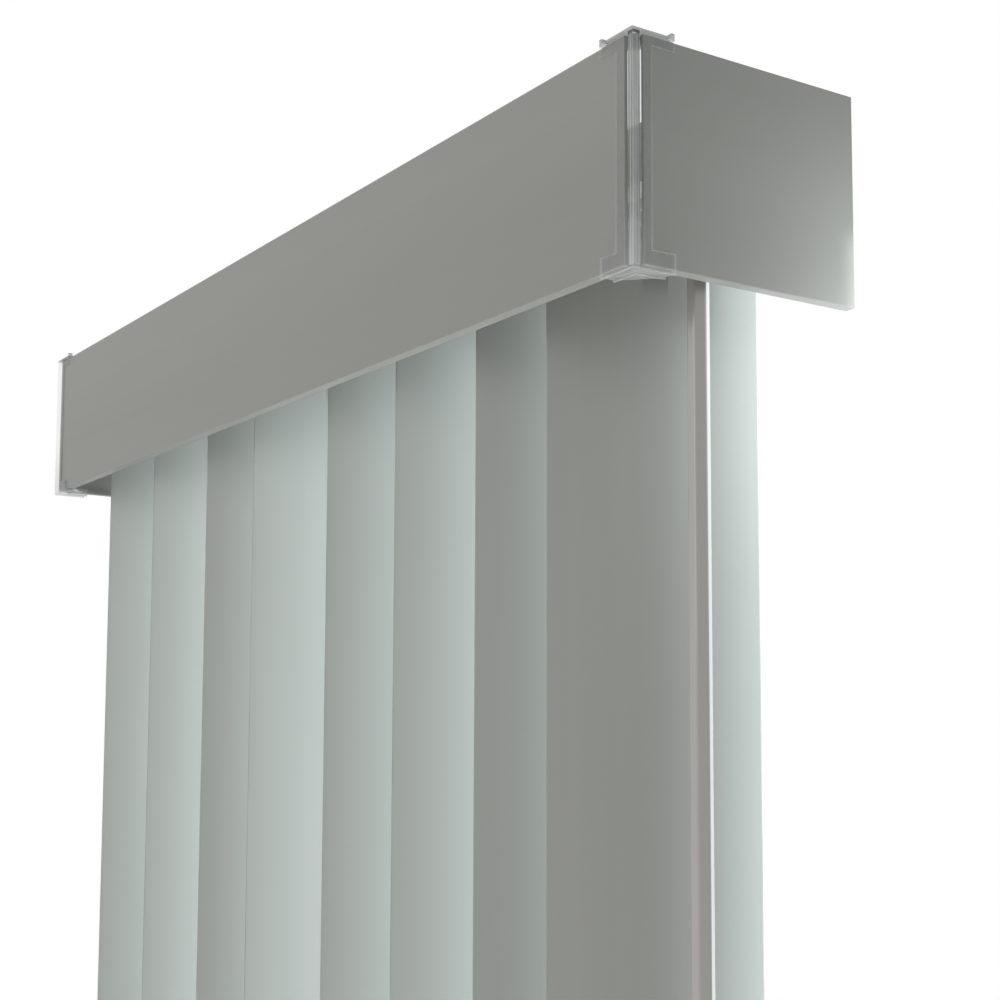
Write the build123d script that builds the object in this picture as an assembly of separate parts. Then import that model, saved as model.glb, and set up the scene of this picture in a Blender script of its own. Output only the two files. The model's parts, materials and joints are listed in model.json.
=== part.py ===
from build123d import *
import os

# Vertical blind with a boxed valance, wand control and crowned vanes.
# Millimetres. X runs along the headrail, Y points back to the wall, Z is up.
# The origin is the centre of the wall screw holes, on the wall's face.

# Whole blind
valance_width = 635.0
valance_height = 89.0
valance_projection = 114.0
valance_top = 31.0
overall_drop = 914.0
cut_overrun = 1.0

# Valance panels
panel_wall = 1.6
panel_lip = 5.0
panel_edge_round = 0.5
panel_end_gap = 0.1
return_wall_gap = 0.5

# Corner connectors
post_side = 5.2
connector_wall = 1.0
front_flange_reach = 10.0
side_flange_reach = 8.5
tab_reach = 19.5
cap_wall = 1.4
lower_apron = 5.9
upper_apron = 4.1
cap_hook_height = 2.6
rim_width = 0.9
rim_height = 0.8
nib_length = 1.6
nib_height = 1.6
connector_fit = 0.15

# Headrail and its end caps
track_from_wall = 54.0
headrail_below_top = 13.0
headrail_width = 40.0
headrail_height = 24.0
headrail_wall = 1.2
headrail_rib = 1.6
track_slot = 15.0
headrail_end_gap = 9.0
end_cap_wall = 2.0
end_cap_round = 1.5
plug_depth = 4.0
plug_wall = 1.6
plug_fit = 0.1
bearing_boss_radius = 4.6

# Tilt rod
rod_core_radius = 2.4
rod_flute_radius = 3.2
rod_flute_width = 1.4
rod_flutes = 4
rod_from_track = 9.5
rod_above_floor = 7.4
rod_bearing_fit = 0.08
rod_pass_gap = 0.4
rod_end_play = 0.5

# Carriers
first_carrier_inset = 64.0
carrier_gap_shares = (0.62, 0.81, 0.785, 1.0, 0.72, 0.925, 0.85)
carrier_length = 18.0
carrier_width = 33.0
carrier_height = 17.0
carrier_shoe_height = 3.2
carrier_waist_inset = 3.0
carrier_float = 0.2
carrier_edge_round = 1.0
neck_radius = 6.0
neck_drop = 4.0

# Spacer strips between the carriers
strip_width = 2.2
strip_wall = 0.6
strip_fit = 0.2
strip_head_width = 3.2
strip_head_length = 1.0
strip_end_length = 2.0
lane_count = 6
lane_pitch = 3.6
lane_above_floor = 14.0

# Stems
stem_radius = 2.8
stem_fit = 0.06
stem_depth = 11.0
stem_end_gap = 0.4
stem_flange_radius = 4.6
stem_flange_height = 1.6
stem_running_gap = 0.2
clip_width = 9.0
clip_bridge_height = 5.0
clip_leg_wall = 1.6
clip_leg_length = 17.0
clip_vane_fit = 0.15
clip_leg_taper = 0.7
peg_width = 8.0
peg_height = 2.4

# Vanes
vane_width = 89.0
vane_crown = 4.0
vane_wall = 0.9
vane_angle = 57.0
vane_top_gap = 0.4
vane_slot_width = 12.0
vane_slot_height = 4.6
vane_slot_margin = 5.0

# Wand, its carrier and its hook
wand_from_first_stem = 50.3
wand_before_track = 17.5
wand_carrier_from_first_stem = 37.0
arm_width = 9.0
arm_height = 5.0
ear_radius = 3.5
ear_wall = 2.0
ear_gap = 6.0
pin_below_arm = 5.0
hook_pin_radius = 1.5
hook_pin_fit = 0.06
hook_eye_radius = 3.2
hook_side_gap = 0.25
shank_radius = 2.2
shank_fit = 0.06
shank_head_radius = 3.6
shank_head_height = 1.6
collar_radius = 5.5
collar_below_pin = 5.0
collar_top_wall = 2.0
collar_cavity_gap = 0.4
collar_cavity_height = 4.0
collar_socket_depth = 11.0
collar_chamfer = 0.8
wand_across_flats = 8.0
wand_length = 600.0
wand_socket_fit = 0.05
tip_radius = 5.3
tip_height = 14.0
tip_socket_depth = 10.0
tip_chamfer = 1.8

# Bar that ties the wand carrier to the first carrier
link_width = 8.0
link_wall = 1.6
link_overhang = 5.0
link_pin_radius = 1.5
link_pin_length = 2.0
link_pin_fit = 0.05
link_behind_track = 6.0

# Wall brackets and the clips that hold the headrail
bracket_inset = 137.5
bracket_width = 22.0
bracket_wall = 1.6
bracket_bend_radius = 3.0
bracket_arm_short_of_front = 8.0
bracket_corner_round = 4.0
screw_hole_radius = 2.4
screw_hole_spacing = 20.0
screw_hole_margin = 10.0
headrail_clip_wall = 0.8
headrail_clip_width = 18.0
headrail_clip_gap = 0.1
headrail_clip_claw = 1.2
headrail_clip_round = 0.7
bolt_radius = 2.0
bolt_fit = 0.1
bolt_head_radius = 3.8
bolt_head_height = 2.2

# Clips that carry the valance on the headrail
valance_clip_inset = 87.5
valance_clip_width = 25.0
valance_clip_wall = 1.6
valance_clip_grip = 9.0
valance_clip_drop = 24.0
valance_clip_fit = 0.1
valance_clip_round = 1.2

# Levels and lines worked out from the sizes above
front_y = -valance_projection
valance_bottom = valance_top - valance_height
half_width = valance_width / 2
track_y = -track_from_wall
headrail_top = valance_top - headrail_below_top
headrail_bottom = headrail_top - headrail_height
track_floor = headrail_bottom + headrail_wall
headrail_half = half_width - headrail_end_gap - end_cap_wall
rod_y = track_y - rod_from_track
rod_z = track_floor + rod_above_floor
neck_bottom = headrail_bottom - neck_drop
stem_flange_bottom = neck_bottom - stem_running_gap - stem_flange_height
vane_top = stem_flange_bottom - clip_bridge_height - vane_top_gap
vane_bottom = valance_top - overall_drop
peg_top = vane_top - vane_slot_margin
strip_z = track_floor + lane_above_floor
cap_depth = panel_lip + connector_fit + connector_wall
pin_z = neck_bottom - arm_height - pin_below_arm
collar_top = pin_z - collar_below_pin
shank_head_top = collar_top - collar_top_wall
wand_top = shank_head_top - collar_cavity_height
wand_bottom = wand_top - wand_length
clip_top = headrail_top + headrail_clip_wall
bracket_top = clip_top + bracket_wall
bracket_x = half_width - bracket_inset
valance_clip_x = half_width - valance_clip_inset

# Carrier places along the headrail, from the right-hand end
carrier_run = valance_width - 2 * first_carrier_inset
longest_gap = carrier_run / sum(carrier_gap_shares)
carrier_places = [half_width - first_carrier_inset]
for gap_share in carrier_gap_shares:
    carrier_places.append(carrier_places[-1] - gap_share * longest_gap)
wand_carrier_x = carrier_places[0] + wand_carrier_from_first_stem
wand_x = carrier_places[0] + wand_from_first_stem
wand_y = track_y - wand_before_track


def outline(points):
    return make_face(Polyline(*points, close=True))


def bar_along_x(face, x_start, length):
    """Extrude a face drawn in Y and Z along X."""
    section = Plane(origin=(x_start, 0, 0), x_dir=(0, 1, 0), z_dir=(1, 0, 0))
    return extrude(section * face, amount=length)


def slab(face, z_start, height):
    """Extrude a face drawn in X and Y upwards."""
    return Pos(0, 0, z_start) * extrude(face, amount=height)


def rectangle(x_low, x_high, y_low, y_high):
    return outline([(x_low, y_low), (x_high, y_low), (x_high, y_high), (x_low, y_high)])


def rod_along_x(radius, x_start, length, y, z):
    return bar_along_x(Pos(y, z) * Circle(radius), x_start, length)


def post_along_z(radius, x, y, z_start, height):
    return slab(Pos(x, y) * Circle(radius), z_start, height)


def write(name, shape):
    export_step(shape, f"parts/{name}.step")


# Valance panels: one extruded channel section, cut to length
def panel_section():
    inner_top = valance_height - panel_wall
    section = outline([
        (0, 0), (panel_lip, 0), (panel_lip, panel_wall), (panel_wall, panel_wall),
        (panel_wall, inner_top), (panel_lip, inner_top), (panel_lip, valance_height), (0, valance_height),
    ])
    face_corners = section.vertices().group_by(Axis.X)[0]
    return fillet(face_corners, panel_edge_round)


def make_front_valance():
    half_length = half_width - post_side - panel_end_gap
    section = Plane(origin=(-half_length, front_y, valance_bottom), x_dir=(0, 1, 0), z_dir=(1, 0, 0))
    return extrude(section * panel_section(), amount=2 * half_length)


def make_return():
    start_y = front_y + post_side + panel_end_gap
    section = Plane(origin=(half_width, start_y, valance_bottom), x_dir=(-1, 0, 0), z_dir=(0, 1, 0))
    return extrude(section * panel_section(), amount=-return_wall_gap - start_y)


# Corner connector: drawn with the outer corner at zero, front panel to -X, return to +Y
def corner_angle(reach_front, reach_side, outside, inside):
    """An L in plan whose legs lie between two offsets from the panels' outer faces."""
    return outline([
        (-reach_front, outside), (-outside, outside), (-outside, reach_side),
        (-inside, reach_side), (-inside, inside), (-reach_front, inside),
    ])


def cap_plate():
    return outline([
        (-tab_reach, -connector_wall), (connector_wall, -connector_wall), (connector_wall, tab_reach),
        (-cap_depth, tab_reach), (-tab_reach, cap_depth),
    ])


def make_connector():
    inner_low = panel_wall + connector_fit
    hook_inside = panel_lip + connector_fit
    outer_angle = corner_angle(front_flange_reach, side_flange_reach, -connector_wall, 0)
    apron_angle = corner_angle(tab_reach, tab_reach, -connector_wall, 0)
    hook_angle = corner_angle(tab_reach, tab_reach, hook_inside, cap_depth)
    outer_rim = corner_angle(tab_reach, tab_reach, -connector_wall, rim_width - connector_wall)
    inner_rim = corner_angle(tab_reach, tab_reach, cap_depth - rim_width, cap_depth)
    back_angle = corner_angle(front_flange_reach, side_flange_reach, inner_low, inner_low + connector_wall)
    post = rectangle(-post_side, 0, 0, post_side)
    hollow_far = post_side - connector_wall
    hollow = rectangle(-hollow_far, -connector_wall, connector_wall, hollow_far)

    body = slab(outer_angle, 0, valance_height) + slab(post, 0, valance_height)
    body += slab(back_angle, inner_low, valance_height - 2 * inner_low)
    body += slab(cap_plate(), -cap_wall, cap_wall)
    body += slab(apron_angle, 0, lower_apron)
    body += slab(hook_angle, 0, cap_hook_height)
    body += slab(outer_rim, -cap_wall - rim_height, rim_height)
    body += slab(inner_rim, -cap_wall - rim_height, rim_height)
    body += slab(cap_plate(), valance_height, cap_wall)
    body += slab(apron_angle, valance_height - upper_apron, upper_apron)
    body += slab(hook_angle, valance_height - cap_hook_height, cap_hook_height)
    front_nib = rectangle(-tab_reach, nib_length - tab_reach, -connector_wall, panel_wall)
    side_nib = rectangle(-panel_wall, connector_wall, tab_reach - nib_length, tab_reach)
    body += slab(front_nib + side_nib, valance_height + cap_wall, nib_height)
    body -= slab(hollow, 0, valance_height + cap_wall + cut_overrun)
    return Pos(half_width, front_y, valance_bottom) * body


# Headrail: extruded track with a slot along its underside and clip ribs along its top
def make_headrail():
    half = headrail_width / 2
    lip = track_slot / 2
    top = headrail_height
    under_top = headrail_height - headrail_wall
    inside = half - headrail_wall
    right_side = [
        (lip, 0), (half, 0), (half, under_top),
        (half + headrail_rib, under_top), (half + headrail_rib, top),
    ]
    right_inside = [(inside, under_top), (inside, headrail_wall), (lip, headrail_wall)]
    left_side = [(-y, z) for y, z in reversed(right_side)]
    left_inside = [(-y, z) for y, z in reversed(right_inside)]
    section = Pos(track_y, headrail_bottom) * outline(right_side + left_side + left_inside + right_inside)
    return bar_along_x(section, -headrail_half, 2 * headrail_half)


def make_end_cap():
    """Right-hand cap: a cover plate, a hollow plug and a bearing boss for the tilt rod."""
    cover_half = headrail_width / 2 + headrail_rib
    plug_half = headrail_width / 2 - headrail_wall - plug_fit
    plug_low = track_floor + plug_fit
    plug_high = headrail_top - headrail_wall - plug_fit
    plug_start = headrail_half - plug_depth
    cover = rectangle(track_y - cover_half, track_y + cover_half, headrail_bottom, headrail_top)
    plug = rectangle(track_y - plug_half, track_y + plug_half, plug_low, plug_high)
    inside_half = plug_half - plug_wall
    hollow = rectangle(
        track_y - inside_half, track_y + inside_half, plug_low + plug_wall, plug_high - plug_wall
    )
    cap = bar_along_x(fillet(cover.vertices(), end_cap_round), headrail_half, end_cap_wall)
    cap += bar_along_x(plug - hollow, plug_start, plug_depth)
    cap += rod_along_x(bearing_boss_radius, plug_start, plug_depth, rod_y, rod_z)
    return cap - rod_along_x(rod_core_radius + rod_bearing_fit, plug_start, plug_depth, rod_y, rod_z)


def make_tilt_rod():
    fluted_half = headrail_half - plug_depth - rod_end_play
    journal_half = headrail_half - rod_end_play
    section = Circle(rod_core_radius)
    for turn in range(rod_flutes // 2):
        section += Rot(0, 0, 360 / rod_flutes * turn) * Rectangle(2 * rod_flute_radius, rod_flute_width)
    fluted = bar_along_x(Pos(rod_y, rod_z) * section, -fluted_half, 2 * fluted_half)
    return fluted + rod_along_x(rod_core_radius, -journal_half, 2 * journal_half, rod_y, rod_z)


# Carriers: a moulded runner with shoes on the track's lips and a neck down through the slot
def runner_block(x):
    shoe = carrier_width / 2
    waist = shoe - carrier_waist_inset
    base = track_floor + carrier_float
    section = outline([
        (-shoe, 0), (shoe, 0), (shoe, carrier_shoe_height), (waist, carrier_shoe_height),
        (waist, carrier_height), (-waist, carrier_height), (-waist, carrier_shoe_height),
        (-shoe, carrier_shoe_height),
    ])
    block = bar_along_x(Pos(track_y, base) * section, x - carrier_length / 2, carrier_length)
    block = fillet(block.edges().filter_by(Axis.Z), carrier_edge_round)
    block += post_along_z(neck_radius, x, track_y, neck_bottom, base - neck_bottom)
    start = x - carrier_length / 2 - cut_overrun
    through = carrier_length + 2 * cut_overrun
    block -= rod_along_x(rod_flute_radius + rod_pass_gap, start, through, rod_y, rod_z)
    window = Rectangle(strip_width + 2 * strip_fit, strip_wall + 2 * strip_fit)
    for lane in range(lane_count):
        block -= bar_along_x(Pos(lane_y(lane), strip_z) * window, start, through)
    return block


def lane_y(lane):
    return track_y + (lane - (lane_count - 1) / 2) * lane_pitch


def link_hole(x):
    hole_depth = link_pin_length + link_pin_fit
    top = track_floor + carrier_float + carrier_height
    radius = link_pin_radius + link_pin_fit
    return post_along_z(radius, x, track_y + link_behind_track, top - hole_depth, hole_depth + cut_overrun)


def make_carrier(number):
    x = carrier_places[number - 1]
    bore_top = track_floor + stem_depth + stem_end_gap
    bore_bottom = neck_bottom - cut_overrun
    bore = post_along_z(stem_radius + stem_fit, x, track_y, bore_bottom, bore_top - bore_bottom)
    carrier = runner_block(x) - bore
    if number == 1:
        carrier -= link_hole(x)
    return carrier


def make_spacer(number):
    """Strip headed against its own carrier's left face and running right through the next one."""
    x = carrier_places[number - 1]
    y = lane_y(number % lane_count)
    face_x = x - carrier_length / 2
    reach = longest_gap + carrier_length + strip_end_length
    strip = bar_along_x(Pos(y, strip_z) * Rectangle(strip_width, strip_wall), face_x, reach)
    head = Pos(y, strip_z) * Rectangle(strip_head_width, strip_wall)
    return strip + bar_along_x(head, face_x - strip_head_length, strip_head_length)


# Stem and vane: drawn at zero along the vane, then turned to the rest angle on the carrier
def on_carrier(number, shape):
    return Pos(carrier_places[number - 1], track_y, 0) * Rot(0, 0, vane_angle) * shape


def make_stem():
    half_gap = vane_wall / 2 + clip_vane_fit
    leg_outside = half_gap + clip_leg_wall
    half_clip = clip_width / 2
    leg_bottom = stem_flange_bottom - clip_leg_length
    bridge_bottom = stem_flange_bottom - clip_bridge_height
    stem_top = track_floor + stem_depth
    stem = post_along_z(stem_radius, 0, 0, stem_flange_bottom, stem_top - stem_flange_bottom)
    stem += post_along_z(stem_flange_radius, 0, 0, stem_flange_bottom, stem_flange_height)
    bridge = rectangle(-half_clip, half_clip, -leg_outside, leg_outside)
    stem += slab(bridge, bridge_bottom, clip_bridge_height)
    front_leg = rectangle(-half_clip, half_clip, -leg_outside, -half_gap)
    back_leg = rectangle(-half_clip, half_clip, half_gap, leg_outside)
    legs = slab(front_leg + back_leg, leg_bottom, clip_leg_length)
    leg_ends = legs.edges().filter_by(Axis.X).group_by(Axis.Z)[0].sort_by(Axis.Y)
    stem += chamfer(leg_ends[1:3], clip_leg_taper)
    peg = rectangle(-peg_width / 2, peg_width / 2, -half_gap, vane_wall / 2)
    return stem + slab(peg, peg_top - peg_height, peg_height)


def make_vane():
    half = vane_width / 2
    skin = vane_wall / 2
    front_arc = ThreePointArc((-half, vane_crown - skin), (0, -skin), (half, vane_crown - skin))
    back_arc = ThreePointArc((half, vane_crown + skin), (0, skin), (-half, vane_crown + skin))
    section = make_face([
        front_arc, Line(front_arc @ 1, back_arc @ 0), back_arc, Line(back_arc @ 1, front_arc @ 0),
    ])
    vane = slab(section, vane_bottom, vane_top - vane_bottom)
    slot = rectangle(-vane_slot_width / 2, vane_slot_width / 2, -vane_crown, vane_crown)
    return vane - slab(slot, peg_top - vane_slot_height, vane_slot_height)


# Wand: its carrier has an arm and two ears below the track, and the wand hangs on a swinging hook
def make_wand_carrier():
    arm_bottom = neck_bottom - arm_height
    along = Vector(wand_x - wand_carrier_x, wand_y - track_y, 0)
    arm_middle = Pos((wand_x + wand_carrier_x) / 2, (wand_y + track_y) / 2)
    turn = Vector(1, 0, 0).get_signed_angle(along, Vector(0, 0, 1))
    arm = arm_middle * Rot(0, 0, turn) * SlotCenterToCenter(along.length, arm_width)
    carrier = runner_block(wand_carrier_x) - link_hole(wand_carrier_x)
    carrier += slab(arm, arm_bottom, arm_height)
    ear = Pos(wand_y, pin_z) * Circle(ear_radius)
    ear += rectangle(wand_y - ear_radius, wand_y + ear_radius, pin_z, arm_bottom)
    for ear_start in (wand_x - ear_gap / 2 - ear_wall, wand_x + ear_gap / 2):
        carrier += bar_along_x(ear, ear_start, ear_wall)
    pin_run = ear_gap + 2 * ear_wall
    pin_start = wand_x - pin_run / 2 - cut_overrun
    return carrier - rod_along_x(
        hook_pin_radius + hook_pin_fit, pin_start, pin_run + 2 * cut_overrun, wand_y, pin_z
    )


def make_hook_pin():
    pin_run = ear_gap + 2 * ear_wall
    return rod_along_x(hook_pin_radius, wand_x - pin_run / 2, pin_run, wand_y, pin_z)


def make_wand_hook():
    eye_run = ear_gap - 2 * hook_side_gap
    hook = rod_along_x(hook_eye_radius, wand_x - eye_run / 2, eye_run, wand_y, pin_z)
    hook += post_along_z(shank_radius, wand_x, wand_y, shank_head_top, pin_z - shank_head_top)
    hook -= rod_along_x(hook_pin_radius + hook_pin_fit, wand_x - eye_run, 2 * eye_run, wand_y, pin_z)
    head_bottom = shank_head_top - shank_head_height
    return hook + post_along_z(shank_head_radius, wand_x, wand_y, head_bottom, shank_head_height)


def wand_hexagon(extra):
    return Pos(wand_x, wand_y) * RegularPolygon(wand_across_flats / 2 + extra, 6, major_radius=False)


def make_wand_collar():
    bottom = wand_top - collar_socket_depth
    collar = post_along_z(collar_radius, wand_x, wand_y, bottom, collar_top - bottom)
    collar = chamfer(collar.edges().filter_by(GeomType.CIRCLE), collar_chamfer)
    bore_height = collar_top_wall + cut_overrun
    collar -= post_along_z(shank_radius + shank_fit, wand_x, wand_y, shank_head_top, bore_height)
    cavity_radius = shank_head_radius + collar_cavity_gap
    collar -= post_along_z(cavity_radius, wand_x, wand_y, wand_top, collar_cavity_height)
    socket_start = bottom - cut_overrun
    return collar - slab(wand_hexagon(wand_socket_fit), socket_start, wand_top - socket_start)


def make_wand():
    return slab(wand_hexagon(0), wand_bottom, wand_length)


def make_wand_tip():
    bottom = wand_bottom + tip_socket_depth - tip_height
    tip = post_along_z(tip_radius, wand_x, wand_y, bottom, tip_height)
    tip = chamfer(tip.edges().filter_by(GeomType.CIRCLE).sort_by(Axis.Z)[:1], tip_chamfer)
    return tip - slab(wand_hexagon(wand_socket_fit), wand_bottom, tip_socket_depth + cut_overrun)


def make_lead_link():
    top = track_floor + carrier_float + carrier_height
    y = track_y + link_behind_track
    ends = (carrier_places[0], wand_carrier_x)
    plate = rectangle(
        ends[0] - link_overhang, ends[1] + link_overhang, y - link_width / 2, y + link_width / 2
    )
    link = slab(plate, top, link_wall)
    for x in ends:
        link += post_along_z(link_pin_radius, x, y, top - link_pin_length, link_pin_length)
    return link


# Wall fixing: bent steel bracket, spring clip over the headrail's ribs, and a bolt through both
def make_wall_bracket(x):
    arm_front = track_y - headrail_width / 2 + bracket_arm_short_of_front
    leg_bottom = -screw_hole_spacing / 2 - screw_hole_margin
    section = outline([
        (0, leg_bottom), (0, bracket_top), (arm_front, bracket_top), (arm_front, clip_top),
        (-bracket_wall, clip_top), (-bracket_wall, leg_bottom),
    ])
    outer_bend = section.vertices().sort_by_distance((0, bracket_top))
    section = fillet(outer_bend[:1], bracket_bend_radius + bracket_wall)
    inner_bend = section.vertices().sort_by_distance((-bracket_wall, clip_top))
    section = fillet(inner_bend[:1], bracket_bend_radius)
    bracket = bar_along_x(section, x - bracket_width / 2, bracket_width)
    arm_corners = bracket.edges().filter_by(Axis.Z).group_by(Axis.Y)[0]
    leg_corners = bracket.edges().filter_by(Axis.Y).group_by(Axis.Z)[0]
    bracket = fillet(arm_corners + leg_corners, bracket_corner_round)
    hole_height = bracket_wall + 2 * cut_overrun
    for z in (-screw_hole_spacing / 2, screw_hole_spacing / 2):
        wall_side = Plane(origin=(x, cut_overrun, z), x_dir=(1, 0, 0), z_dir=(0, -1, 0))
        bracket -= extrude(wall_side * Circle(screw_hole_radius), amount=hole_height)
    return bracket - post_along_z(bolt_radius + bolt_fit, x, track_y, clip_top - cut_overrun, hole_height)


def make_headrail_clip(x):
    rib_edge = headrail_width / 2 + headrail_rib + headrail_clip_gap
    outside = rib_edge + headrail_clip_wall
    rib_bottom = headrail_top - headrail_wall - headrail_clip_gap
    claw_bottom = rib_bottom - headrail_clip_wall
    claw_edge = rib_edge - headrail_clip_claw
    right_side = [
        (outside, clip_top), (outside, claw_bottom), (claw_edge, claw_bottom), (claw_edge, rib_bottom),
        (rib_edge, rib_bottom), (rib_edge, headrail_top),
    ]
    left_side = [(-y, z) for y, z in reversed(right_side)]
    section = outline(right_side + left_side)
    by_side = section.vertices().group_by(Axis.X)
    section = Pos(track_y, 0) * fillet(by_side[0] + by_side[-1], headrail_clip_round)
    clip = bar_along_x(section, x - headrail_clip_width / 2, headrail_clip_width)
    hole_start = headrail_top - cut_overrun
    hole_height = headrail_clip_wall + 2 * cut_overrun
    return clip - post_along_z(bolt_radius + bolt_fit, x, track_y, hole_start, hole_height)


def make_clip_bolts():
    bolts = []
    for x in (-bracket_x, bracket_x):
        bolt = post_along_z(bolt_radius, x, track_y, headrail_top, bracket_top - headrail_top)
        bolts.append(bolt + post_along_z(bolt_head_radius, x, track_y, bracket_top, bolt_head_height))
    return Compound(children=bolts)


def make_valance_clip(x):
    """One bent strip: a claw on the headrail's front rib, an arm, and a plate inside the valance."""
    rib_front = track_y - headrail_width / 2 - headrail_rib - valance_clip_fit
    rib_bottom = headrail_top - headrail_wall - valance_clip_fit
    claw_front = rib_front - valance_clip_wall
    claw_back = track_y - headrail_width / 2 - valance_clip_fit
    claw_bottom = rib_bottom - valance_clip_wall
    grip_end = claw_back + valance_clip_grip
    arm_top = headrail_top + valance_clip_wall
    plate_front = front_y + panel_wall
    plate_back = plate_front + valance_clip_wall
    plate_top = valance_top - panel_wall
    plate_bottom = plate_top - valance_clip_drop
    section = outline([
        (plate_front, plate_bottom), (plate_back, plate_bottom), (plate_back, headrail_top),
        (claw_front, headrail_top), (claw_front, claw_bottom), (claw_back, claw_bottom),
        (claw_back, rib_bottom), (rib_front, rib_bottom), (rib_front, headrail_top),
        (grip_end, headrail_top), (grip_end, arm_top), (plate_back, arm_top), (plate_back, plate_top),
        (plate_front, plate_top),
    ])
    claw_corner = section.vertices().sort_by_distance((claw_front, claw_bottom))[:1]
    grip_corner = section.vertices().sort_by_distance((grip_end, arm_top))[:1]
    section = fillet(claw_corner + grip_corner, valance_clip_round)
    return bar_along_x(section, x - valance_clip_width / 2, valance_clip_width)


os.makedirs("parts", exist_ok=True)

write("front_valance", make_front_valance())
right_pieces = {"return": make_return(), "corner_connector": make_connector(), "end_cap": make_end_cap()}
for name, piece in right_pieces.items():
    write(f"{name}_right", piece)
    write(f"{name}_left", mirror(piece, about=Plane.YZ))

write("headrail", make_headrail())
write("tilt_rod", make_tilt_rod())

for side, x in (("left", -bracket_x), ("right", bracket_x)):
    write(f"wall_bracket_{side}", make_wall_bracket(x))
    write(f"headrail_clip_{side}", make_headrail_clip(x))
write("clip_bolts", make_clip_bolts())

for side, x in (("left", -valance_clip_x), ("middle", 0), ("right", valance_clip_x)):
    write(f"valance_clip_{side}", make_valance_clip(x))

stem_shape = make_stem()
vane_shape = make_vane()
for number in range(1, len(carrier_places) + 1):
    write(f"carrier_{number}", make_carrier(number))
    write(f"stem_{number}", on_carrier(number, stem_shape))
    write(f"vane_{number}", on_carrier(number, vane_shape))
    if number > 1:
        write(f"spacer_{number}", make_spacer(number))

write("wand_carrier", make_wand_carrier())
write("lead_link", make_lead_link())
write("hook_pin", make_hook_pin())
write("wand_hook", make_wand_hook())
write("wand_collar", make_wand_collar())
write("wand", make_wand())
write("wand_tip", make_wand_tip())
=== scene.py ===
import json
import math

import bmesh
import bpy
from mathutils import Matrix, Vector


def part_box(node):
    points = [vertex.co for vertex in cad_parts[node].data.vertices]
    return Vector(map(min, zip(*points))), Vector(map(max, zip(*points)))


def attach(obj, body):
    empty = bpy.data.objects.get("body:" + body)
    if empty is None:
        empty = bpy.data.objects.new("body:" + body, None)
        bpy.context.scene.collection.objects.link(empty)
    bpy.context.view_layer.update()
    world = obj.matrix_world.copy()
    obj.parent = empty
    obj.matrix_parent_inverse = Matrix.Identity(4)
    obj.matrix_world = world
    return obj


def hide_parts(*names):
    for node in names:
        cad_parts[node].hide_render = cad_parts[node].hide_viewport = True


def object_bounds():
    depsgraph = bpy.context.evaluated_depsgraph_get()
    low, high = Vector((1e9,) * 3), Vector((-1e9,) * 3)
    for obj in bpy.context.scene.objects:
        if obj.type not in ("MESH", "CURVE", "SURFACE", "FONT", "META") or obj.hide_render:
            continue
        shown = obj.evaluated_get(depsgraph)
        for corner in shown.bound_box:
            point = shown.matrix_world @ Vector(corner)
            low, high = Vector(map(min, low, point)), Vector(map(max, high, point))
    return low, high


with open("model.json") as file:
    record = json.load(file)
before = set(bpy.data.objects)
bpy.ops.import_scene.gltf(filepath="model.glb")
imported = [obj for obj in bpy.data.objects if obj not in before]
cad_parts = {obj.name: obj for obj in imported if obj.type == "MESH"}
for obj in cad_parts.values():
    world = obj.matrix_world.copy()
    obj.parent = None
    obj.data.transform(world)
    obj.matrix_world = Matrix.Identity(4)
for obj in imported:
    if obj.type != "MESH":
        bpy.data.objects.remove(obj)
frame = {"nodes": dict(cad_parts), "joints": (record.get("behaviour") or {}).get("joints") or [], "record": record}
cad_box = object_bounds()
nodes = frame["nodes"]
scene = bpy.context.scene


# Wall brackets.
# Two strips of mild steel bent to an L and screwed to the wall, with a matt white powder coat
# that has a fine orange-peel skin.
def add_node(tree, kind, place=(0, 0), **settings):
    node = tree.nodes.new(kind)
    node.location = place
    for name, value in settings.items():
        setattr(node, name, value)
    return node


def link(tree, start, end):
    tree.links.new(start, end)


def new_material(name):
    material = bpy.data.materials.new(name)
    material.use_nodes = True
    return material, material.node_tree.nodes["Principled BSDF"]


def make_skin_grain():
    """Shader group: fine moulded or sprayed grain, with a broad, faint drift of tone."""
    group = bpy.data.node_groups.new("skin_grain", "ShaderNodeTree")
    group.interface.new_socket("Grain Scale", in_out="INPUT", socket_type="NodeSocketFloat")
    for name in ("Grain", "Drift"):
        group.interface.new_socket(name, in_out="OUTPUT", socket_type="NodeSocketFloat")
    values = add_node(group, "NodeGroupInput", (-600, 0))
    result = add_node(group, "NodeGroupOutput", (300, 0))
    place = add_node(group, "ShaderNodeTexCoord", (-600, -200))
    fine = add_node(group, "ShaderNodeTexNoise", (-200, 150))
    fine.inputs["Detail"].default_value = 3.0
    broad = add_node(group, "ShaderNodeTexNoise", (-200, -150))
    broad.inputs["Scale"].default_value = 14.0
    broad.inputs["Detail"].default_value = 2.0
    link(group, place.outputs["Object"], fine.inputs["Vector"])
    link(group, place.outputs["Object"], broad.inputs["Vector"])
    link(group, values.outputs["Grain Scale"], fine.inputs["Scale"])
    link(group, fine.outputs["Fac"], result.inputs["Grain"])
    link(group, broad.outputs["Fac"], result.inputs["Drift"])
    return group


skin_grain = make_skin_grain()


def two_tones(tree, mask, dark, light):
    """Colour ramp between two linear tones, driven by a mask."""
    ramp = add_node(tree, "ShaderNodeValToRGB", (-300, 200))
    ramp.color_ramp.elements[0].position = 0.3
    ramp.color_ramp.elements[1].position = 0.7
    ramp.color_ramp.elements[0].color = (*dark, 1.0)
    ramp.color_ramp.elements[1].color = (*light, 1.0)
    link(tree, mask, ramp.inputs["Fac"])
    return ramp.outputs["Color"]


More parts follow.
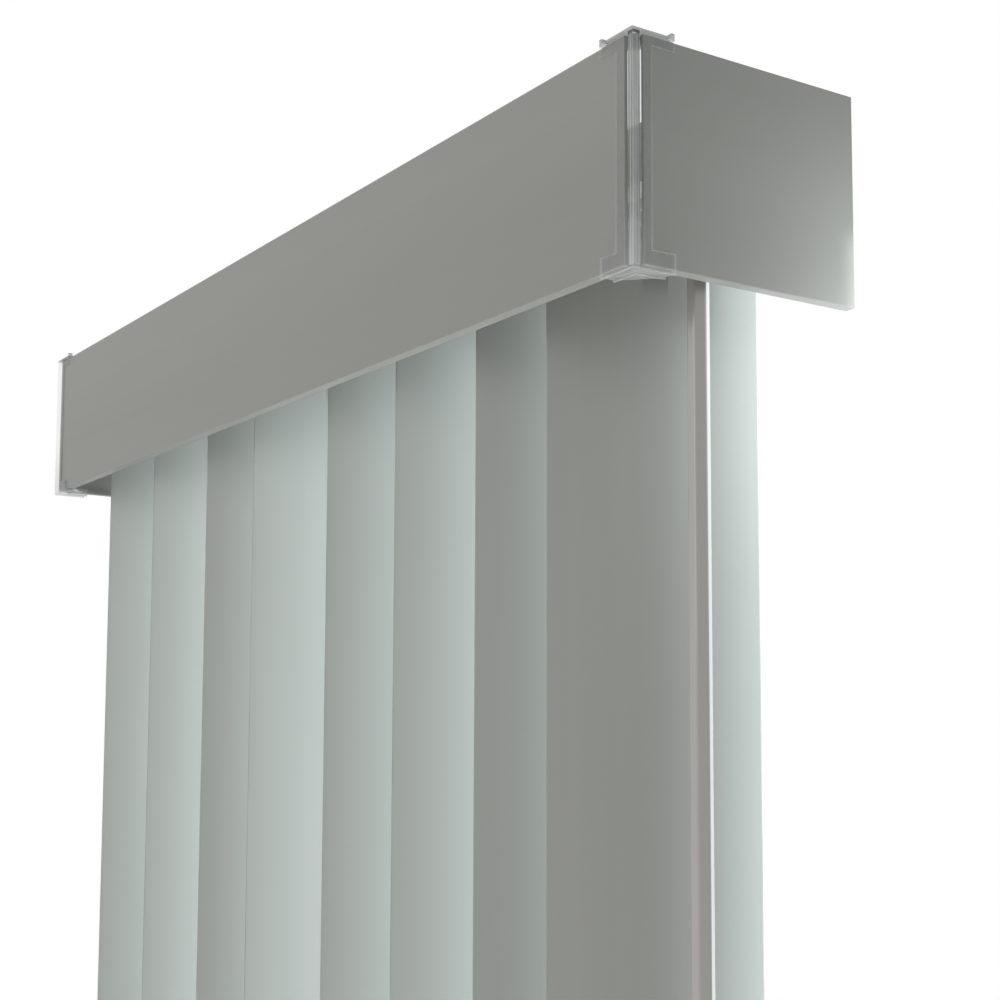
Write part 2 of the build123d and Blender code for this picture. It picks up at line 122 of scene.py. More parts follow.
def remap(tree, value, low, high):
    """A value from 0 to 1, stretched to lie between two others."""
    spread = add_node(tree, "ShaderNodeMapRange", (-300, -50))
    spread.inputs["To Min"].default_value = low
    spread.inputs["To Max"].default_value = high
    link(tree, value, spread.inputs["Value"])
    return spread.outputs["Result"]


def add_bump(tree, shader, height, strength, distance):
    bump = add_node(tree, "ShaderNodeBump", (-300, -300))
    bump.inputs["Strength"].default_value = strength
    bump.inputs["Distance"].default_value = distance
    link(tree, height, bump.inputs["Height"])
    link(tree, bump.outputs["Normal"], shader.inputs["Normal"])


def linear(red, green, blue):
    """Linear colour from a colour written as sRGB out of 255."""
    def one(value):
        share = value / 255.0
        return share / 12.92 if share <= 0.04045 else ((share + 0.055) / 1.055) ** 2.4
    return one(red), one(green), one(blue)


def make_grained(name, dark, light, roughness, grain_scale, bump_strength, bump_depth):
    """A moulded or sprayed finish."""
    material, shader = new_material(name)
    tree = material.node_tree
    grain = add_node(tree, "ShaderNodeGroup", (-600, 0), node_tree=skin_grain)
    grain.inputs["Grain Scale"].default_value = grain_scale
    link(tree, two_tones(tree, grain.outputs["Drift"], dark, light), shader.inputs["Base Color"])
    link(tree, remap(tree, grain.outputs["Grain"], *roughness), shader.inputs["Roughness"])
    add_bump(tree, shader, grain.outputs["Grain"], bump_strength, bump_depth)
    return material


def dress(names, material):
    for name in names:
        for slot in nodes[name].material_slots:
            slot.material = material


powder_coat = make_grained(
    "powder_coat", linear(206, 207, 204), linear(214, 215, 212), roughness=(0.45, 0.62), grain_scale=1400.0,
    bump_strength=0.25, bump_depth=0.0001,
)
dress(["wall_bracket_left", "wall_bracket_right"], powder_coat)


# Spring clips, bolts, spacer strips, lead link and the wand's pin and hook.
# Bright rolled steel with the fine lengthwise lines of the mill, cut and bent to shape.
def make_drawn_lines():
    """Shader group: streaks along one axis, as left by an extrusion die or a rolling mill."""
    group = bpy.data.node_groups.new("drawn_lines", "ShaderNodeTree")
    group.interface.new_socket("Stretch", in_out="INPUT", socket_type="NodeSocketVector")
    for name in ("Lines", "Drift"):
        group.interface.new_socket(name, in_out="OUTPUT", socket_type="NodeSocketFloat")
    values = add_node(group, "NodeGroupInput", (-700, 0))
    result = add_node(group, "NodeGroupOutput", (300, 0))
    place = add_node(group, "ShaderNodeTexCoord", (-700, -200))
    stretched = add_node(group, "ShaderNodeVectorMath", (-450, 0), operation="MULTIPLY")
    coarse = add_node(group, "ShaderNodeVectorMath", (-450, -250), operation="SCALE")
    coarse.inputs["Scale"].default_value = 0.08
    lines = add_node(group, "ShaderNodeTexNoise", (-150, 100))
    lines.inputs["Scale"].default_value = 1.0
    lines.inputs["Detail"].default_value = 3.0
    drift = add_node(group, "ShaderNodeTexNoise", (-150, -200))
    drift.inputs["Scale"].default_value = 1.0
    drift.inputs["Detail"].default_value = 2.0
    link(group, place.outputs["Object"], stretched.inputs[0])
    link(group, values.outputs["Stretch"], stretched.inputs[1])
    link(group, stretched.outputs["Vector"], lines.inputs["Vector"])
    link(group, stretched.outputs["Vector"], coarse.inputs[0])
    link(group, coarse.outputs["Vector"], drift.inputs["Vector"])
    link(group, lines.outputs["Fac"], result.inputs["Lines"])
    link(group, drift.outputs["Fac"], result.inputs["Drift"])
    return group


drawn_lines = make_drawn_lines()


def make_drawn(name, dark, light, roughness, stretch, bump_strength, bump_depth, metallic=0.0):
    """An extruded, rolled or drawn finish."""
    material, shader = new_material(name)
    tree = material.node_tree
    streaks = add_node(tree, "ShaderNodeGroup", (-600, 0), node_tree=drawn_lines)
    streaks.inputs["Stretch"].default_value = stretch
    link(tree, two_tones(tree, streaks.outputs["Drift"], dark, light), shader.inputs["Base Color"])
    link(tree, remap(tree, streaks.outputs["Lines"], *roughness), shader.inputs["Roughness"])
    shader.inputs["Metallic"].default_value = metallic
    add_bump(tree, shader, streaks.outputs["Lines"], bump_strength, bump_depth)
    return material


rolled_steel = make_drawn(
    "rolled_steel", linear(168, 170, 172), linear(186, 188, 190), roughness=(0.28, 0.42),
    stretch=(12.0, 1600.0, 1600.0), bump_strength=0.15, bump_depth=0.00005, metallic=1.0,
)
steel_pieces = ["headrail_clip_left", "headrail_clip_right", "clip_bolts"]
steel_pieces += ["lead_link", "hook_pin", "wand_hook"]
steel_pieces += [name for name in nodes if name.startswith("spacer_")]
dress(steel_pieces, rolled_steel)


# Headrail and tilt rod.
# Extruded aluminium: the rail is painted pale grey, the fluted rod is left as drawn.
rail_paint = make_drawn(
    "rail_paint", linear(196, 198, 196), linear(204, 206, 204), roughness=(0.32, 0.44),
    stretch=(8.0, 900.0, 900.0), bump_strength=0.08, bump_depth=0.00005,
)
rod_metal = make_drawn(
    "rod_metal", linear(176, 178, 179), linear(192, 194, 195), roughness=(0.25, 0.38),
    stretch=(10.0, 1200.0, 1200.0), bump_strength=0.12, bump_depth=0.00005, metallic=1.0,
)
dress(["headrail"], rail_paint)
dress(["tilt_rod"], rod_metal)


# Carriers, stems and end caps.
# Injection-moulded acetal, off-white and slightly waxy, each one snapped into place.
acetal = make_grained(
    "acetal", linear(208, 208, 203), linear(216, 216, 211), roughness=(0.38, 0.5), grain_scale=1100.0,
    bump_strength=0.12, bump_depth=0.00006,
)
acetal_pieces = ["end_cap_left", "end_cap_right", "wand_carrier"]
acetal_pieces += [name for name in nodes if name.startswith(("carrier_", "stem_"))]
dress(acetal_pieces, acetal)


# Vanes.
# Extruded PVC slats with a shallow crown and rounded edges, each punched once near the top
# and hung by that slot on its stem's peg.
vane_pvc = make_drawn(
    "vane_pvc", linear(175, 177, 172), linear(181, 183, 178), roughness=(0.36, 0.46),
    stretch=(420.0, 420.0, 2.5), bump_strength=0.06, bump_depth=0.0001,
)
vane_width = 0.089
vane_crown = 0.004
vane_wall = 0.0009
vane_rest_turn = math.radians(57.0)
vane_bow = 0.0009
bow_waviness = 2.2
bow_seed_step = 3.7
slot_width = 0.012
slot_height = 0.0046
slot_round = 0.0015
slot_top_margin = 0.005
punch_reach = 0.01
section_points = 168
length_stations = 30
corner_steps = 5


def math_node(tree, operation, first, second=None):
    """One step of arithmetic in a node tree: each operand is a socket or a plain number."""
    node = add_node(tree, "ShaderNodeMath", operation=operation)
    for number, operand in enumerate((first, second)):
        if operand is None:
            continue
        if isinstance(operand, (int, float)):
            node.inputs[number].default_value = operand
        else:
            link(tree, operand, node.inputs[number])
    return node.outputs[0]


def make_vane_tree():
    """Sweeps a crowned section with round edges up the vane, bows it a little and punches the slot."""
    tree = bpy.data.node_groups.new("crowned_vane", "GeometryNodeTree")
    tree.interface.new_socket("Geometry", in_out="OUTPUT", socket_type="NodeSocketGeometry")
    for name in (
        "Width", "Crown", "Wall", "Bottom", "Top", "Bow", "Bow Seed",
        "Slot Width", "Slot Height", "Slot Middle", "Slot Round", "Turn",
    ):
        tree.interface.new_socket(name, in_out="INPUT", socket_type="NodeSocketFloat")
    tree.interface.new_socket("Place", in_out="INPUT", socket_type="NodeSocketVector")
    tree.interface.new_socket("Finish", in_out="INPUT", socket_type="NodeSocketMaterial")
    values = add_node(tree, "NodeGroupInput", (-1600, 0)).outputs
    result = add_node(tree, "NodeGroupOutput", (1600, 0))

    # Section: a circle's points laid out along the crown, with half-round edges
    loop = add_node(tree, "GeometryNodeCurvePrimitiveCircle", (-1400, 300))
    loop.inputs["Resolution"].default_value = section_points
    loop.inputs["Radius"].default_value = 1.0
    point = add_node(tree, "ShaderNodeSeparateXYZ", (-1200, 100))
    link(tree, add_node(tree, "GeometryNodeInputPosition", (-1400, 100)).outputs[0], point.inputs[0])
    half_width = math_node(tree, "MULTIPLY", values["Width"], 0.5)
    half_wall = math_node(tree, "MULTIPLY", values["Wall"], 0.5)
    across = math_node(tree, "MULTIPLY", point.outputs["X"], half_width)
    from_edge = math_node(tree, "SUBTRACT", half_width, math_node(tree, "ABSOLUTE", across))
    edge_share = math_node(tree, "MINIMUM", math_node(tree, "DIVIDE", from_edge, half_wall), 1.0)
    inward = math_node(tree, "SUBTRACT", 1.0, edge_share)
    inward_square = math_node(tree, "MULTIPLY", inward, inward)
    roundness = math_node(tree, "SQRT", math_node(tree, "SUBTRACT", 1.0, inward_square))
    side = math_node(tree, "SIGN", point.outputs["Y"])
    skin = math_node(tree, "MULTIPLY", math_node(tree, "MULTIPLY", half_wall, roundness), side)
    crown_share = math_node(tree, "MULTIPLY", point.outputs["X"], point.outputs["X"])
    crowned = math_node(tree, "ADD", math_node(tree, "MULTIPLY", values["Crown"], crown_share), skin)
    section_point = add_node(tree, "ShaderNodeCombineXYZ", (-300, 100))
    link(tree, across, section_point.inputs["X"])
    link(tree, crowned, section_point.inputs["Y"])
    section = add_node(tree, "GeometryNodeSetPosition", (-100, 300))
    link(tree, loop.outputs["Curve"], section.inputs["Geometry"])
    link(tree, section_point.outputs[0], section.inputs["Position"])

    # Length: a plumb line from the bottom edge to the top edge
    bottom_end = add_node(tree, "ShaderNodeCombineXYZ", (-700, -200))
    link(tree, values["Bottom"], bottom_end.inputs["Z"])
    top_end = add_node(tree, "ShaderNodeCombineXYZ", (-700, -350))
    link(tree, values["Top"], top_end.inputs["Z"])
    plumb = add_node(tree, "GeometryNodeCurvePrimitiveLine", (-500, -200))
    link(tree, bottom_end.outputs[0], plumb.inputs["Start"])
    link(tree, top_end.outputs[0], plumb.inputs["End"])
    stations = add_node(tree, "GeometryNodeResampleCurve", (-300, -200))
    stations.inputs["Count"].default_value = length_stations
    link(tree, plumb.outputs["Curve"], stations.inputs["Curve"])
    upright = add_node(tree, "GeometryNodeSetCurveNormal", (-150, -200), mode="Z_UP")
    link(tree, stations.outputs["Curve"], upright.inputs["Curve"])
    swept = add_node(tree, "GeometryNodeCurveToMesh", (100, 200))
    swept.inputs["Fill Caps"].default_value = True
    link(tree, upright.outputs["Curve"], swept.inputs["Curve"])
    link(tree, section.outputs["Geometry"], swept.inputs["Profile Curve"])

    # Bow: a slow drift out of true that grows from nothing at the clip
    spot = add_node(tree, "GeometryNodeInputPosition", (100, -200)).outputs[0]
    height = add_node(tree, "ShaderNodeSeparateXYZ", (250, -200))
    link(tree, spot, height.inputs[0])
    hang = math_node(tree, "SUBTRACT", values["Top"], height.outputs["Z"])
    drop = math_node(tree, "SUBTRACT", values["Top"], values["Bottom"])
    hang_share = math_node(tree, "DIVIDE", hang, drop)
    drift = add_node(tree, "ShaderNodeTexNoise", (450, -200), noise_dimensions="4D")
    drift.inputs["Scale"].default_value = bow_waviness
    drift.inputs["Detail"].default_value = 0.0
    link(tree, spot, drift.inputs["Vector"])
    link(tree, values["Bow Seed"], drift.inputs["W"])
    centred = math_node(tree, "SUBTRACT", drift.outputs["Fac"], 0.5)
    bow = math_node(tree, "MULTIPLY", math_node(tree, "MULTIPLY", centred, values["Bow"]), hang_share)
    bow_offset = add_node(tree, "ShaderNodeCombineXYZ", (700, -200))
    link(tree, math_node(tree, "MULTIPLY", bow, 2.0), bow_offset.inputs["Y"])
    bowed = add_node(tree, "GeometryNodeSetPosition", (850, 200))
    link(tree, swept.outputs["Mesh"], bowed.inputs["Geometry"])
    link(tree, bow_offset.outputs[0], bowed.inputs["Offset"])

    # Slot: a round-cornered punch pushed through near the top
    punch_face = add_node(tree, "GeometryNodeCurvePrimitiveQuadrilateral", (100, -600))
    link(tree, values["Slot Width"], punch_face.inputs["Width"])
    link(tree, values["Slot Height"], punch_face.inputs["Height"])
    rounded = add_node(tree, "GeometryNodeFilletCurve", (300, -600), mode="POLY")
    rounded.inputs["Count"].default_value = corner_steps
    link(tree, punch_face.outputs["Curve"], rounded.inputs["Curve"])
    link(tree, values["Slot Round"], rounded.inputs["Radius"])
    stroke = add_node(tree, "GeometryNodeCurvePrimitiveLine", (300, -800))
    stroke.inputs["Start"].default_value = (0.0, 0.0, -punch_reach)
    stroke.inputs["End"].default_value = (0.0, 0.0, punch_reach)
    punch = add_node(tree, "GeometryNodeCurveToMesh", (500, -600))
    punch.inputs["Fill Caps"].default_value = True
    link(tree, stroke.outputs["Curve"], punch.inputs["Curve"])
    link(tree, rounded.outputs["Curve"], punch.inputs["Profile Curve"])
    aim = add_node(tree, "GeometryNodeTransform", (700, -600))
    aim.inputs["Rotation"].default_value = (math.pi / 2, 0.0, 0.0)
    slot_place = add_node(tree, "ShaderNodeCombineXYZ", (500, -900))
    link(tree, values["Slot Middle"], slot_place.inputs["Z"])
    link(tree, slot_place.outputs[0], aim.inputs["Translation"])
    link(tree, punch.outputs["Mesh"], aim.inputs["Geometry"])
    punched = add_node(tree, "GeometryNodeMeshBoolean", (1000, 100), operation="DIFFERENCE")
    link(tree, bowed.outputs["Geometry"], punched.inputs["Mesh 1"])
    link(tree, aim.outputs["Geometry"], punched.inputs["Mesh 2"])

    # Hung on its carrier at the rest angle
    hung = add_node(tree, "GeometryNodeTransform", (1150, 100))
    turn = add_node(tree, "ShaderNodeCombineXYZ", (1000, -150))
    link(tree, values["Turn"], turn.inputs["Z"])
    link(tree, turn.outputs[0], hung.inputs["Rotation"])
    link(tree, values["Place"], hung.inputs["Translation"])
    link(tree, punched.outputs["Mesh"], hung.inputs["Geometry"])
    smooth = add_node(tree, "GeometryNodeSetShadeSmooth", (1250, 100))
    link(tree, hung.outputs["Geometry"], smooth.inputs["Geometry"])
    solid = add_node(tree, "GeometryNodeRealizeInstances", (1350, 100))
    link(tree, smooth.outputs["Geometry"], solid.inputs["Geometry"])
    finished = add_node(tree, "GeometryNodeSetMaterial", (1450, 100))
    link(tree, solid.outputs["Geometry"], finished.inputs["Geometry"])
    link(tree, values["Finish"], finished.inputs["Material"])
    link(tree, finished.outputs["Geometry"], result.inputs["Geometry"])
    return tree


def grow(name, tree, sizes):
    """Runs a geometry-node tree with the given sizes and returns its result as a plain mesh object."""
    seed_object = bpy.data.objects.new(name + "_seed", bpy.data.meshes.new(name + "_seed"))
    scene.collection.objects.link(seed_object)
    modifier = seed_object.modifiers.new("grow", "NODES")
    modifier.node_group = tree
    keys = {item.name: item.identifier for item in tree.interface.items_tree if item.in_out == "INPUT"}
    for size_name, value in sizes.items():
        modifier[keys[size_name]] = value
    bpy.context.view_layer.update()
    grown = seed_object.evaluated_get(bpy.context.evaluated_depsgraph_get())
    mesh = bpy.data.meshes.new_from_object(grown)
    mesh.name = name
    seed_object.modifiers.remove(modifier)
    bpy.data.objects.remove(seed_object)
    piece = bpy.data.objects.new(name, mesh)
    scene.collection.objects.link(piece)
    return piece


def hinge_of(body):
    return next(joint for joint in frame["joints"] if joint["child"] == body)


vane_tree = make_vane_tree()
vane_numbers = sorted(int(name.split("_")[1]) for name in nodes if name.startswith("vane_"))
for number in vane_numbers:
    low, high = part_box(f"vane_{number}")
    pivot = hinge_of(f"vane_{number}")["pos_m"]
    vane = grow(f"vane_{number}_slat", vane_tree, {
        "Width": vane_width, "Crown": vane_crown, "Wall": vane_wall, "Bottom": low.z, "Top": high.z,
        "Bow": vane_bow, "Bow Seed": number * bow_seed_step, "Slot Width": slot_width,
        "Slot Height": slot_height, "Slot Middle": high.z - slot_top_margin - slot_height / 2,
        "Slot Round": slot_round, "Turn": vane_rest_turn, "Place": (pivot[0], pivot[1], 0.0),
        "Finish": vane_pvc,
    })
    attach(vane, f"vane_{number}")
    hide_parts(f"vane_{number}")


# Wand, collar and tip.
# A six-sided rod of glossy extruded plastic with softened edges, pushed into a moulded collar
# at the top and a rounded tip at the bottom.
wand_edge_round = 0.0008
merge_distance = 0.000005
flat_angle = math.radians(1.0)
sharp_angle = math.radians(30.0)
edge_index = 1


def soften(name, source, material, width, segments, edge_highlight_paint=None):
    """A copy of a node's mesh with its loose triangles merged and its sharp edges rounded."""
    mesh = nodes[source].data.copy()
    mesh.name = name
    shape = bmesh.new()
    shape.from_mesh(mesh)
    bmesh.ops.remove_doubles(shape, verts=shape.verts, dist=merge_distance)
    bmesh.ops.dissolve_limit(
        shape, angle_limit=flat_angle, verts=shape.verts, edges=shape.edges, delimit={"NORMAL"}
    )
    shape.to_mesh(mesh)
    shape.free()
    if mesh.has_custom_normals:
        mesh.attributes.remove(mesh.attributes["custom_normal"])
    mesh.materials.clear()
    mesh.materials.append(material)
    if edge_highlight_paint:
        mesh.materials.append(edge_highlight_paint)
    piece = bpy.data.objects.new(name, mesh)
    scene.collection.objects.link(piece)
    rounding = piece.modifiers.new("rounding", "BEVEL")
    rounding.width = width
    rounding.segments = segments
    rounding.limit_method = "ANGLE"
    rounding.angle_limit = sharp_angle
    rounding.use_clamp_overlap = True
    rounding.harden_normals = True
    # The rounded edges can carry a painted highlight material of their own
    if edge_highlight_paint:
        rounding.material = edge_index
    bpy.context.view_layer.update()
    rounded = piece.evaluated_get(bpy.context.evaluated_depsgraph_get())
    finished = bpy.data.meshes.new_from_object(rounded)
    piece.modifiers.remove(rounding)
    piece.data = finished
    body = next(body for body, group in frame["record"]["behaviour"]["bodies"].items() if source in group)
    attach(piece, body)
    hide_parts(source)
    return piece


wand_plastic = make_drawn(
    "wand_plastic", linear(182, 179, 175), linear(190, 187, 183), roughness=(0.14, 0.22),
    stretch=(500.0, 500.0, 3.0), bump_strength=0.05, bump_depth=0.00005,
)
wand_plastic.node_tree.nodes["Principled BSDF"].inputs["Coat Weight"].default_value = 1.0
soften("wand_rod", "wand", wand_plastic, width=wand_edge_round, segments=3)
dress(["wand_collar", "wand_tip"], wand_plastic)


# Valance panels.
# One PVC channel section extruded with a smooth satin face, cut into a front and two returns.
panel_dark = linear(152, 153, 148)
panel_light = linear(157, 158, 153)
panel_pvc = make_drawn(
    "panel_pvc", panel_dark, panel_light, roughness=(0.4, 0.5), stretch=(3.0, 380.0, 380.0),
    bump_strength=0.05, bump_depth=0.0001,
)
return_pvc = make_drawn(
    "return_pvc", panel_dark, panel_light, roughness=(0.4, 0.5), stretch=(380.0, 3.0, 380.0),
    bump_strength=0.05, bump_depth=0.0001,
)
dress(["front_valance"], panel_pvc)
dress(["return_left", "return_right"], return_pvc)


# Corner connectors and valance clips.
# Clear moulded plastic: the connectors slide over the panels' ends and wrap their edges, and the
# clips carry the front panel on the headrail.
clip_low, clip_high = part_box("corner_connector_right")
front_low, front_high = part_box("front_valance")
# Height of the painted highlight at a connector's foot
foot_height = 0.03
# Fade and strength of the painted shade above the panels' top edge
head_fade = 0.0004
head_shade_strength = 0.4
clip_edge_round = 0.00035
post_reach = 0.0055
outer_x = max(abs(clip_low.x), abs(clip_high.x))
skin_index = 0
cap_index = 2
post_index = 3


def make_clear_plastic(name, dark, light, face_on, edge_on, foot_highlight_strength=0.2, stretch=(700.0, 700.0, 14.0)):
    """Glossy see-through skin, more solid edge-on, with a painted highlight at a connector's foot and painted
    shade above the panels.
    """
    material, shader = new_material(name)
    tree = material.node_tree
    streaks = add_node(tree, "ShaderNodeGroup", (-600, 0), node_tree=drawn_lines)
    streaks.inputs["Stretch"].default_value = stretch
    place = add_node(tree, "ShaderNodeTexCoord", (-1000, -500))
    height = add_node(tree, "ShaderNodeSeparateXYZ", (-800, -500))
    # Painted highlight: towards a connector's foot the skin turns paler and more solid, standing in for light
    # caught there
    foot = add_node(tree, "ShaderNodeMapRange", (-600, -500))
    foot.inputs["From Min"].default_value = clip_low.z + foot_height
    foot.inputs["From Max"].default_value = clip_low.z
    foot.inputs["To Max"].default_value = foot_highlight_strength
    # Painted shade: above the panels' top edge the skin turns darker and more solid, standing in for the shade
    # inside the valance
    head = add_node(tree, "ShaderNodeMapRange", (-600, -800))
    head.inputs["From Min"].default_value = front_high.z
    head.inputs["From Max"].default_value = front_high.z + head_fade
    head.inputs["To Max"].default_value = head_shade_strength
    link(tree, place.outputs["Object"], height.inputs[0])
    link(tree, height.outputs["Z"], foot.inputs["Value"])
    link(tree, height.outputs["Z"], head.inputs["Value"])
    # The painted highlight at the foot and the painted shade above the panels, laid over the streaks
    painted_light_and_shade = math_node(tree, "SUBTRACT", foot.outputs["Result"], head.outputs["Result"])
    whiteness = math_node(tree, "ADD", streaks.outputs["Lines"], painted_light_and_shade)
    link(tree, two_tones(tree, whiteness, dark, light), shader.inputs["Base Color"])
    shader.inputs["IOR"].default_value = 1.49
    slant = add_node(tree, "ShaderNodeLayerWeight", (-600, -300))
    slant.inputs["Blend"].default_value = 0.35
    solid = remap(tree, slant.outputs["Facing"], face_on, edge_on)
    # The painted highlight and the painted shade also make the skin more solid
    painted_solidity = math_node(tree, "ADD", foot.outputs["Result"], head.outputs["Result"])
    link(tree, math_node(tree, "ADD", solid, painted_solidity), shader.inputs["Alpha"])
    link(tree, remap(tree, streaks.outputs["Lines"], low=0.12, high=0.26), shader.inputs["Roughness"])
    add_bump(tree, shader, streaks.outputs["Lines"], strength=0.1, distance=0.0002)
    return material


clear_plastic = make_clear_plastic(
    "clear_plastic", linear(184, 187, 186), linear(226, 229, 228), face_on=0.08, edge_on=0.22
)
# Painted highlight: the rounded edges get a pale, nearly solid copy of the clear plastic, standing in for light
# glinting along them
edge_highlight = make_clear_plastic(
    "edge_highlight", linear(226, 230, 229), linear(246, 248, 247), face_on=0.75, edge_on=1.0
)
# Painted light: faces that lie flat get a more solid copy of the clear plastic, standing in for light catching the
# caps
cap_light = make_clear_plastic(
    "cap_light", linear(176, 180, 179), linear(214, 218, 217), face_on=0.16, edge_on=0.6, foot_highlight_strength=0.0
)
# Painted glints and shade: the thick corner post gets dark and white streaks, standing in for light bent inside it
post_glints_and_shade = make_clear_plastic(
    "post_glints_and_shade", linear(98, 100, 99), linear(232, 236, 235), face_on=0.55, edge_on=0.9,
    stretch=(1600.0, 1600.0, 9.0),
)
for side in ("left", "right"):
    corner_clip = soften(
        f"corner_clip_{side}", f"corner_connector_{side}", clear_plastic,
        width=clip_edge_round, segments=2, edge_highlight_paint=edge_highlight,
    )
    corner_clip.data.materials.append(cap_light)
    corner_clip.data.materials.append(post_glints_and_shade)
    for face in corner_clip.data.polygons:
        lies_flat = abs(face.normal.z) > 0.5
        in_post = abs(face.center.x) > outer_x - post_reach and face.center.y < clip_low.y + post_reach
        # Faces that lie flat take the caps' painted light
        if face.material_index == skin_index and lies_flat:
            face.material_index = cap_index
        # Faces of the thick corner post take its painted glints and shade
        elif face.material_index == skin_index and in_post:
            face.material_index = post_index
dress(["valance_clip_left", "valance_clip_middle", "valance_clip_right"], clear_plastic)


# Floor.
# A plain pale floor under the blind.
lowest = cad_box[0][2]
floor_drop = 0.06
floor_half = 1.1
floor_z = lowest - floor_drop
floor_corners = [
    (-floor_half, -floor_half, floor_z), (floor_half, -floor_half, floor_z),
    (floor_half, floor_half, floor_z), (-floor_half, floor_half, floor_z),
]
floor_mesh = bpy.data.meshes.new("floor")
floor_mesh.from_pydata(floor_corners, [], [(0, 1, 2, 3)])
floor = bpy.data.objects.new("floor", floor_mesh)
scene.collection.objects.link(floor)
floor_material, floor_shader = new_material("pale_floor")
floor_shader.inputs["Base Color"].default_value = (*linear(222, 222, 220), 1.0)
floor_shader.inputs["Roughness"].default_value = 0.8
floor_mesh.materials.append(floor_material)


# Light.
# A tall window with a narrow beam at the right-hand end, a little light off the wall beside it, a
# wide soft window behind, soft panels overhead and in front, light from below, and an even sky.
def add_area_light(name, place, target, width, height, power, tint, spread=180.0, mirrored=False):
    lamp = bpy.data.lights.new(name, "AREA")
    lamp.shape = "RECTANGLE"
    lamp.size = width
    lamp.size_y = height
    lamp.energy = power
    lamp.color = tint
    lamp.spread = math.radians(spread)
    holder = bpy.data.objects.new(name, lamp)
    holder.location = place
    holder.rotation_euler = (Vector(target) - Vector(place)).to_track_quat("-Z", "Y").to_euler()
    holder.visible_camera = False
    holder.visible_glossy = mirrored
    scene.collection.objects.link(holder)
    return holder


return_low, return_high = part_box("return_right")
return_corner = Vector((return_high.x, return_high.y, return_low.z))
daylight = (0.82, 0.94, 1.0)
wall_light = (0.92, 0.98, 1.0)
room_light = (1.0, 0.99, 0.97)
sky_strength = 0.38
window_turn = math.radians(32.0)
window_from = Vector((math.cos(window_turn), math.sin(window_turn), 0.0))
window_along = Vector((-math.sin(window_turn), math.cos(window_turn), 0.0))
window_width = 0.44
window_height = 0.9
window_out = 0.045
window_back = 0.028
window_rise = 0.03
window_end = return_corner + Vector((window_out, window_back, window_rise - window_height / 2))
window_place = window_end + window_width / 2 * window_along
window = add_area_light(
    "window", window_place, window_place - window_from, window_width, window_height,
    power=2.3, tint=daylight, spread=18.0,
)
wall_place = return_corner + Vector((0.045, 0.045, -0.02))
wall_target = return_corner + Vector((0.0, -0.03, 0.02))
add_area_light("wall_bounce", wall_place, wall_target, width=0.05, height=0.1, power=0.12, tint=wall_light)
back_place = Vector((0.1, return_corner.y + 0.45, return_corner.z - 0.15))
back_target = back_place - Vector((0.0, 1.0, 0.0))
add_area_light(
    "back_window", back_place, back_target, width=0.8, height=0.9, power=2.2, tint=daylight, mirrored=True
)
above_place = (0.0, -0.2, 1.3)
above_target = (0.0, -0.1, 0.0)
add_area_light("overhead", above_place, above_target, width=1.6, height=1.2, power=5.0, tint=room_light)
floor_place = Vector((0.15, return_low.y - 0.03, lowest - floor_drop / 2))
floor_target = floor_place + Vector((0.0, 0.0, 1.0))
add_area_light(
    "floor_bounce", floor_place, floor_target, width=0.6, height=0.3,
    power=0.7, tint=room_light, spread=50.0,
)
room_place = (-0.3, -1.72, 0.5)
room_target = (0.0, -0.05, -0.3)
add_area_light(
    "room_fill", room_place, room_target, width=1.4, height=1.2, power=6.5, tint=room_light, mirrored=True
)

# The window's light stays off the floor
off_floor = bpy.data.collections.new("off_floor")
off_floor.objects.link(floor)
off_floor.collection_objects[0].light_linking.link_state = "EXCLUDE"
window.light_linking.receiver_collection = off_floor

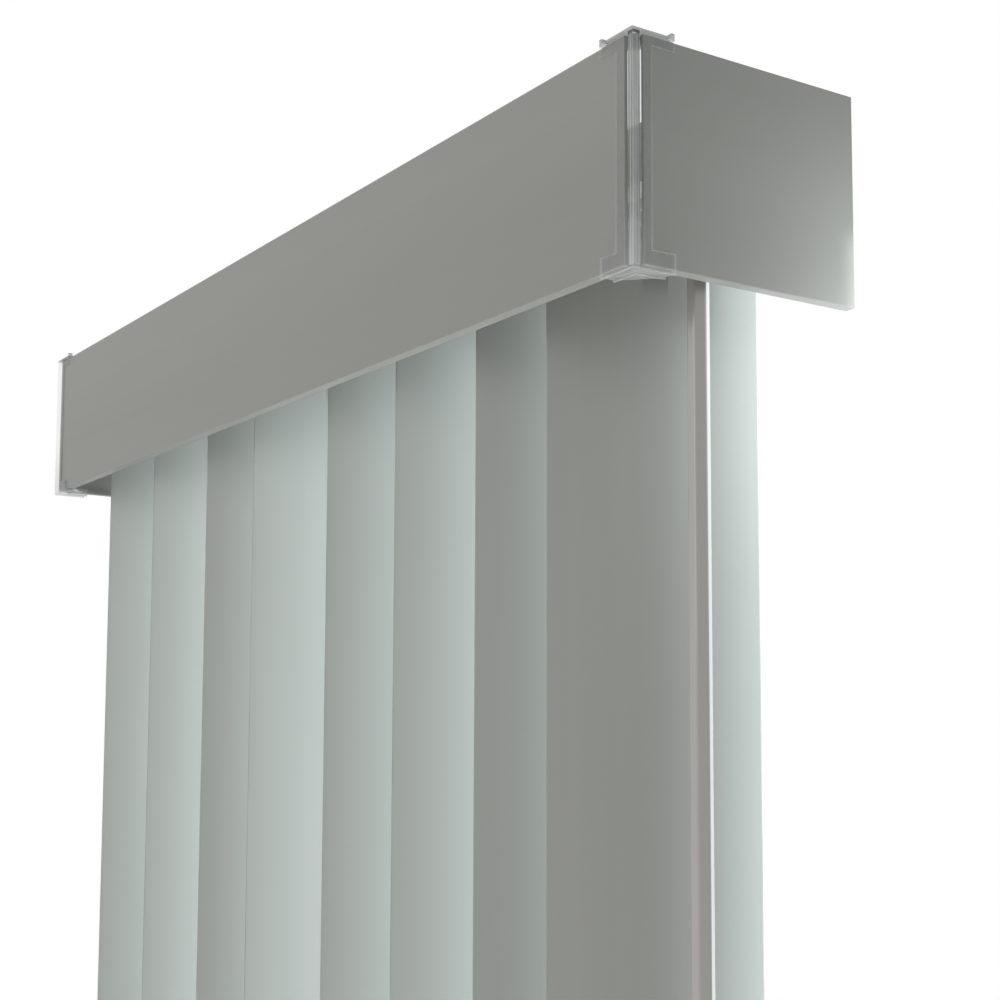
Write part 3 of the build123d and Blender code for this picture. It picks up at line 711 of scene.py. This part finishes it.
# The sky is white where it is seen, mirrored or seen through, and lights the rest evenly
world = bpy.data.worlds.new("sky")
scene.world = world
world.use_nodes = True
sky_tree = world.node_tree
sky_tree.nodes.clear()
sky_out = add_node(sky_tree, "ShaderNodeOutputWorld", (600, 0))
seen_white = add_node(sky_tree, "ShaderNodeBackground", (200, 100))
seen_white.inputs["Color"].default_value = (1.0, 1.0, 1.0, 1.0)
even_light = add_node(sky_tree, "ShaderNodeBackground", (200, -100))
even_light.inputs["Color"].default_value = (1.0, 1.0, 0.99, 1.0)
even_light.inputs["Strength"].default_value = sky_strength
ray = add_node(sky_tree, "ShaderNodeLightPath", (-400, 0)).outputs
choose = add_node(sky_tree, "ShaderNodeMixShader", (400, 0))
seen = math_node(sky_tree, "MAXIMUM", ray["Is Camera Ray"], ray["Is Glossy Ray"])
seen_or_through = math_node(sky_tree, "MAXIMUM", seen, ray["Is Transmission Ray"])
link(sky_tree, seen_or_through, choose.inputs["Fac"])
link(sky_tree, even_light.outputs[0], choose.inputs[1])
link(sky_tree, seen_white.outputs[0], choose.inputs[2])
link(sky_tree, choose.outputs[0], sky_out.inputs["Surface"])
scene.view_settings.view_transform = "Standard"


# Camera.
# Placed below and to the right of the valance's right-hand front corner, looking up along the vanes.
# Its place is measured from the corner of the panels' outer faces at the valance's lower edge.
valance_corner = Vector((return_high.x, front_low.y, front_low.z))
camera_from_corner = Vector((0.4865, -0.3798, -0.1875))
camera_yaw = math.radians(33.44)
camera_pitch = math.radians(5.73)
camera_roll = math.radians(0.22)
camera_lens = 61.46
camera_shift_up = 0.1
level_share = math.cos(camera_pitch)
ahead = Vector((
    -math.cos(camera_yaw) * level_share, math.sin(camera_yaw) * level_share, math.sin(camera_pitch)
))
level_right = Vector((math.sin(camera_yaw), math.cos(camera_yaw), 0.0))
level_up = level_right.cross(ahead)
right = math.cos(camera_roll) * level_right + math.sin(camera_roll) * level_up
up = math.cos(camera_roll) * level_up - math.sin(camera_roll) * level_right
camera_data = bpy.data.cameras.new("camera")
camera_data.lens = camera_lens
camera_data.sensor_width = 36.0
camera_data.shift_y = camera_shift_up
camera_data.clip_start = 0.01
camera = bpy.data.objects.new("camera", camera_data)
camera_turn = Matrix((right, up, -ahead)).transposed().to_4x4()
camera.matrix_world = Matrix.Translation(valance_corner + camera_from_corner) @ camera_turn
scene.collection.objects.link(camera)
scene.camera = camera
